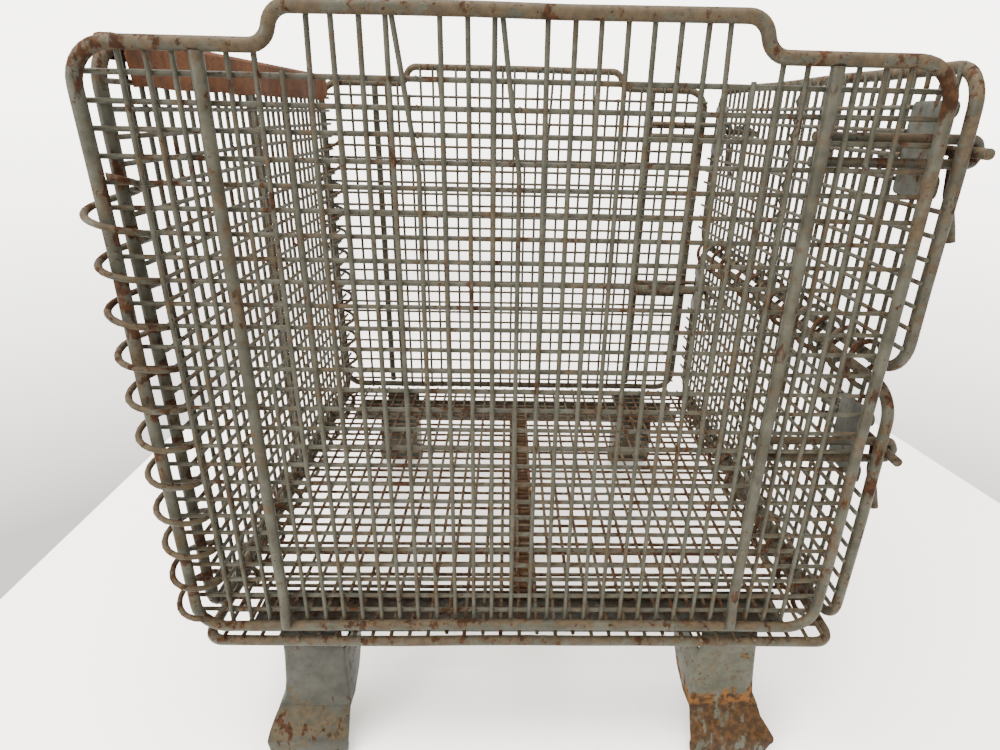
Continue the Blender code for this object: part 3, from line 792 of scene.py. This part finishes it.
# End panels: the outer rod steps up into a raised middle that keeps a stacked container in place. Two
# heavy rods stand in its plane and thin wires behind it, all welded. The front panel is bent about.
def end_panel_rod(name, node, facing):
    """The closed rod, and the middle, y, bottom, top and raised top of its centre line."""
    low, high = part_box(node)
    left, right = low.x + rod_radius, high.x - rod_radius
    bottom, raised = low.z + rod_radius, high.z - rod_radius
    top = raised - 16.8 * mm
    y = (low.y + high.y) / 2
    middle = (left + right) / 2
    step, lean, step_bend = 117 * mm, 2.1 * mm, 10.8 * mm
    bow, bowed_below = 3.2 * mm, 8 * mm
    corners = [(left, bottom), (right, bottom), (right, top), (middle + step + lean, top),
               (middle + step - lean, raised), (middle - step + lean, raised),
               (middle - step - lean, top), (left, top)]
    bends = [corner_bend] * 3 + [step_bend] * 4 + [corner_bend]
    rod = bent_rod(name, [(x, y, z) for x, z in corners], bends, rod_radius, closed=True)
    if facing < 0:
        for point in rod.data.vertices:
            if point.co.z < bottom + bowed_below:
                share = (point.co.x - left) / (right - left)
                point.co.z += bow * math.sqrt(max(0, math.sin(math.pi * share)))
    return uneven(rod, 0.9 * mm, reach=90 * mm), (middle, y, bottom, top, raised)


def swept_aside(piece, x, top, depth, sideways, reach=1.5 * mm):
    """Bends the top of the wire that stands at x over to one side, as a knock would."""
    for point in piece.data.vertices:
        rise = (point.co.z - (top - depth)) / depth
        if abs(point.co.x - x) < pitch / 3 and rise > 0:
            point.co.x += sideways * rise ** 1.4
            point.co.y -= reach * rise * (1 - rise)


# Each knock is a wire's number from the middle, its bend's depth from the top, and its shift, in mm.
knocks = {"front": [(-4, 62, -10.5), (0, 55, -9.0), (8, 60, -2.2), (-8, 70, 1.6), (9, 40, -1.5)],
          "back": [(-6, 90, -7.0), (3, 70, 4.0), (7, 60, -3.0)]}
panel_paint = {
    "front": weathered_paint("front_wire_paint", wear=0.55, rust=0.46, spots=0.62, top_wear_and_light=0.1),
    "back": weathered_paint("back_wire_paint", wear=0.60, rust=0.50, spots=0.6)}
# The dark bands under the coil turns on the left rods are painted shadow of the coils.
panel_rod_paint = weathered_paint("panel_rod_paint", wear=0.56, rust=0.52, spots=0.66, top_wear_and_light=0.3,
                                  extra_rust_and_shadow=coil_shadow_bands, extra_wear=worn_at_the_top,
                                  worn_colour=(0.049, 0.033, 0.0175))
for end, facing in (("front", -1), ("back", 1)):
    body = f"{end}_panel"
    rod, (middle, plane_y, bottom, top, raised) = end_panel_rod(
        f"{end}_panel_rod", f"{end}_panel_frame", facing)
    fit(rod, body, "worn_paint", panel_rod_paint, f"{end}_panel_frame")

    # The wires at the steps stop short, at the top level wire, and heavy uprights replace two others.
    upright_y = plane_y - facing * upright_depth
    row_y = plane_y - facing * row_depth
    outermost, heavy_column, step_column, row_count = 15, 12, 9, 27
    first_row = bottom + 10.7 * mm
    last_row = first_row + (row_count - 1) * row
    uprights = []
    for k in range(-outermost, outermost + 1):
        if abs(k) == heavy_column:
            continue
        if abs(k) == step_column:
            head = last_row + 2 * mm
        else:
            head = (raised if abs(k) < step_column else top) + overhang
        x = middle + k * pitch
        uprights.append(((x, upright_y, bottom - 2.5 * mm), (x, upright_y, head)))
    thin = wires(f"{end}_uprights", uprights)
    for k, depth, sideways in knocks[end]:
        swept_aside(thin, middle + k * pitch, raised, depth * mm, sideways * mm)
    left_end, right_end = middle - 211.8 * mm, middle + 213.0 * mm
    rows = wires(f"{end}_rows", [((left_end, row_y, first_row + k * row),
                                  (right_end, row_y, first_row + k * row)) for k in range(row_count)])
    first_weld = (middle - outermost * pitch, plane_y - facing * weld_depth, first_row)
    welds = weld_nuggets(f"{end}_welds", first_weld, [(pitch, 0, 0), (0, 0, row)],
                         [2 * outermost + 1, row_count], (1.7 * mm, 1.5 * mm, 1.7 * mm))
    fit(joined(f"{end}_panel_wires", [thin, rows, welds]), body, "paint", panel_paint[end],
        f"{end}_panel_mesh")

    for side_name, side in (("left", -1), ("right", 1)):
        x = middle + side * heavy_column * pitch
        lap = plane_y + facing * 2.6 * mm
        line = [(x, lap, bottom + 4.5 * mm), (x, lap, bottom + 9 * mm),
                (x, plane_y, bottom + 22 * mm), (x, plane_y, top - 3 * mm)]
        heavy = uneven(bent_rod(f"{end}_{side_name}_heavy", line, [20 * mm] * 2, rod_radius), 0.5 * mm)
        fit(heavy, body, "paint", rod_paint, f"{end}_panel_{side_name}_upright")


# Gate: two half gates, one above the other, each a rod loop with welded wires. Windows are cut in the
# wires at both ends for the latches, and a flat scalloped stiffener stands at the middle of each half.
gate_rod_paint = weathered_paint("gate_rod_paint", wear=0.64, rust=0.56, spots=0.66, top_wear_and_light=0.3,
                                 extra_wear=worn_at_the_top, worn_colour=(0.048, 0.033, 0.018))
latch_zs = {"upper": 437 * mm, "lower": 257.6 * mm}
window_reach, window_half = 155.5 * mm, 24 * mm
for level, row_count in (("lower", 12), ("upper", 11)):
    body = f"{level}_gate"
    low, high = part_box(f"{body}_frame")
    gate_x = (low.x + high.x) / 2
    reach = high.y - rod_radius
    bottom, top = low.z + rod_radius, high.z - rod_radius
    corners = [(gate_x, -reach, bottom), (gate_x, reach, bottom),
               (gate_x, reach, top), (gate_x, -reach, top)]
    rod = bent_rod(f"{body}_rod", corners, [corner_bend] * 4, rod_radius, closed=True)
    uneven(rod, 0.9 * mm)
    fit(rod, body, "worn_paint", gate_rod_paint, f"{body}_frame")

    latch_z = latch_zs[level]
    upright_ys = [(k - 14.5) * pitch for k in range(30)]
    row_zs = [bottom + 18.4 * mm + k * row for k in range(row_count)]
    gate_wires = wall_mesh(f"{body}_wires", gate_x, -1, reach, bottom, top, upright_ys, row_zs,
                           breaks=[(window_reach, latch_z - window_half, latch_z + window_half)])
    fit(gate_wires, body, "paint", wire_paint, f"{body}_mesh")
    fit(stiffener(f"{body}_strip", f"{body}_stiffener", -1), body, "worn_paint", stiffener_paint,
        f"{body}_stiffener")


# Coil hinges: each is one length of drawn wire, wound to a pitch of two mesh squares round the two
# rods that it joins, so that they can turn and slide. The ends are as cut. The paint is rubbed off.
def coil(name, node, axis, hand, quarter, steps=20):
    """A wire disc swept along a screw thread, between the ends of its plain coil.

    hand is the thread's sense, and quarter is the angle at which the wire starts.
    """
    low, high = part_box(node)
    centre = (low + high) / 2
    across = [k for k in range(3) if k != axis]
    radius = (high[across[0]] - low[across[0]]) / 2 - coil_wire
    length = high[axis] - low[axis] - 2 * coil_wire
    lead = 2 * (row if axis == 2 else pitch)
    turns = length / lead
    deselect()
    bpy.ops.mesh.primitive_circle_add(vertices=8, radius=coil_wire, location=(radius, 0, 0),
                                      rotation=(math.pi / 2, 0, 0), fill_type="NOTHING")
    wire = bpy.context.object
    wire.name = wire.data.name = name
    bpy.ops.object.transform_apply(location=True, rotation=True, scale=True)
    screw = wire.modifiers.new("thread", "SCREW")
    screw.angle = hand * 2 * math.pi * turns
    screw.screw_offset = length
    screw.steps = screw.render_steps = round(turns * steps)
    screw.use_normal_calculate = True
    screw.use_smooth_shade = True
    bpy.ops.object.modifier_apply(modifier="thread")
    turn = Matrix.Rotation(quarter, 4, "Z")
    if axis == 1:
        turn = Matrix.Rotation(-math.pi / 2, 4, "X") @ turn
    start = centre.copy()
    start[axis] = low[axis] + coil_wire
    wire.data.transform(Matrix.Translation(start) @ turn)
    bpy.ops.object.mode_set(mode="EDIT")
    bpy.ops.mesh.select_all(action="SELECT")
    bpy.ops.mesh.remove_doubles(threshold=0.01 * mm)
    bpy.ops.mesh.select_all(action="DESELECT")
    bpy.ops.mesh.select_mode(type="EDGE")
    bpy.ops.mesh.select_non_manifold()
    bpy.ops.mesh.fill_holes(sides=8)
    bpy.ops.mesh.select_all(action="SELECT")
    bpy.ops.mesh.normals_make_consistent(inside=False)
    bpy.ops.object.mode_set(mode="OBJECT")
    return uneven(wire, 1.3 * mm, reach=38 * mm)


coil_paint = weathered_paint("coil_paint", wear=0.78, rust=0.62, spots=0.7, top_wear_and_light=0.35,
                             worn_colour=(0.043, 0.029, 0.015))
rusty_coil = weathered_paint("rusty_coil", wear=0.9, rust=0.85, spots=0.8)
for name, axis, hand, quarter, body, finish in (
        ("front_left_coil", 2, -1, math.radians(-70), "left_wall", coil_paint),
        ("back_left_coil", 2, 1, math.radians(20), "left_wall", coil_paint),
        ("base_left_coil", 1, 1, 0, "base", rusty_coil),
        ("base_right_coil", 1, 1, math.radians(110), "base", rusty_coil),
        ("gate_coil", 1, 1, math.radians(110), "lower_gate", rusty_coil)):
    fit(coil(f"{name}_wire", name, axis, hand, quarter), body, "rusty_wire", finish, name)


# Latches: a staple bent from thin rod is welded to each end panel, and its closed end passes through
# the gate. A C-shaped plate is welded in the gate's window, and a bolt with a bent handle slides in
# the eye.
staple_paint = weathered_paint("staple_paint", wear=0.75, rust=0.58, spots=0.6, top_wear_and_light=0.3,
                               paint=(0.028, 0.027, 0.0195))
latch_plate_paint = weathered_paint("latch_plate_paint", wear=0.45, rust=0.42, spots=0.45,
                                    paint=(0.032, 0.034, 0.027))
bolt_rust = weathered_paint("bolt_rust", wear=0.85, rust=0.70, spots=0.7)
plain_leg_radius, thin_rod, guide_wire, bolt_radius = 2.8 * mm, 2.7 * mm, 1.9 * mm, 2.9 * mm


def latch_plate(name, node, facing):
    """A plate with a notch in its outer edge, its corners rounded, cut from flat sheet."""
    low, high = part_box(node)
    x = (low.x + high.x) / 2
    outer, inner = (low.y, high.y) if facing < 0 else (high.y, low.y)
    notch = outer - facing * 9 * mm
    middle = (low.z + high.z) / 2
    edge = [(inner, low.z), (outer, low.z), (outer, middle - 12 * mm), (notch, middle - 12 * mm),
            (notch, middle + 16 * mm), (outer, middle + 16 * mm), (outer, high.z), (inner, high.z)]
    deselect()
    bpy.ops.mesh.primitive_circle_add(vertices=len(edge), radius=1, fill_type="NGON")
    plate = bpy.context.object
    plate.name = plate.data.name = name
    for point, (y, z) in zip(plate.data.vertices, edge):
        point.co = (x, y, z)
    bpy.ops.object.mode_set(mode="EDIT")
    bpy.ops.mesh.select_all(action="SELECT")
    bpy.ops.mesh.bevel(offset=4.0 * mm, segments=5, affect="VERTICES")
    bpy.ops.object.mode_set(mode="OBJECT")
    return thickened(plate, high.x - low.x, edge=0.4 * mm)


for end, facing in (("front", -1), ("back", 1)):
    for level in ("upper", "lower"):
        gate_body, z = f"{level}_gate", latch_zs[level]
        eye_low, eye_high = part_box(f"{gate_body}_{end}_latch_eye")
        leg_low, leg_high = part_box(f"{end}_panel_{level}_keeper_top")
        leg_y = (leg_low.y + leg_high.y) / 2
        spread = leg_high.z - plain_leg_radius - z
        legs = []
        for side in (-1, 1):
            leg_z = z + side * spread
            legs.append(bent_rod(f"{end}_{level}_leg_{side}",
                                 [(leg_low.x, leg_y, leg_z), (leg_high.x, leg_y, leg_z)],
                                 [], thin_rod, sides=10))
        fit(uneven(joined(f"{end}_{level}_staple_legs", legs), 0.6 * mm), f"{end}_panel", "worn_paint",
            staple_paint, f"{end}_panel_{level}_keeper_top", f"{end}_panel_{level}_keeper_bottom")

        tip_x = eye_high.x - thin_rod
        root_x = leg_high.x + 0.6 * mm
        eye = bent_rod(f"{gate_body}_{end}_staple_end",
                       [(root_x, leg_y, z - spread), (tip_x - 3 * mm, leg_y, z - spread),
                        (tip_x, leg_y, z), (tip_x - 3 * mm, leg_y, z + spread),
                        (root_x, leg_y, z + spread)],
                       [4 * mm, 3 * mm, 4 * mm], thin_rod, sides=10)
        fit(eye, gate_body, "worn_paint", staple_paint, f"{gate_body}_{end}_latch_eye")

        plate = latch_plate(f"{gate_body}_{end}_plate", f"{gate_body}_{end}_latch_plate", facing)
        fit(plate, gate_body, "paint", latch_plate_paint, f"{gate_body}_{end}_latch_plate")

        low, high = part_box(f"{gate_body}_{end}_bolt_guide")
        guide_y = (low.y + high.y) / 2
        far_x, foot_z, head_z = high.x - guide_wire, low.z + guide_wire, high.z - guide_wire
        guide = bent_rod(f"{gate_body}_{end}_guide",
                         [(low.x, guide_y, foot_z), (far_x, guide_y, foot_z),
                          (far_x, guide_y, head_z), (low.x, guide_y, head_z)],
                         [5 * mm] * 2, guide_wire, sides=8)
        fit(guide, gate_body, "worn_paint", staple_paint, f"{gate_body}_{end}_bolt_guide")

        low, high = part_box(f"{gate_body}_{end}_bolt")
        handle_low, handle_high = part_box(f"{gate_body}_{end}_bolt_handle")
        bolt_x = (low.x + high.x) / 2
        tip, tail = (low.y, high.y) if facing < 0 else (high.y, low.y)
        bolt = bent_rod(f"{level}_{end}_bolt_bar", [(bolt_x, tip, z), (bolt_x, tail, z)], [],
                        bolt_radius, segment=12 * mm)
        handle_y = (handle_low.y + handle_high.y) / 2
        handle = bent_rod(f"{level}_{end}_bolt_grip",
                          [(bolt_x, handle_y, z - 1 * mm), (bolt_x + 2.6 * mm, handle_y, z - 22 * mm),
                           (bolt_x + 9 * mm, handle_y + facing * 3 * mm, handle_low.z + 1 * mm)],
                          [16 * mm], bolt_radius * 0.93, segment=8 * mm)
        fit(uneven(joined(f"{level}_{end}_bolt_rod", [bolt, handle]), 0.5 * mm, reach=25 * mm),
            f"{level}_{end}_bolt", "rusty_wire", bolt_rust, f"{gate_body}_{end}_bolt",
            f"{gate_body}_{end}_bolt_handle")
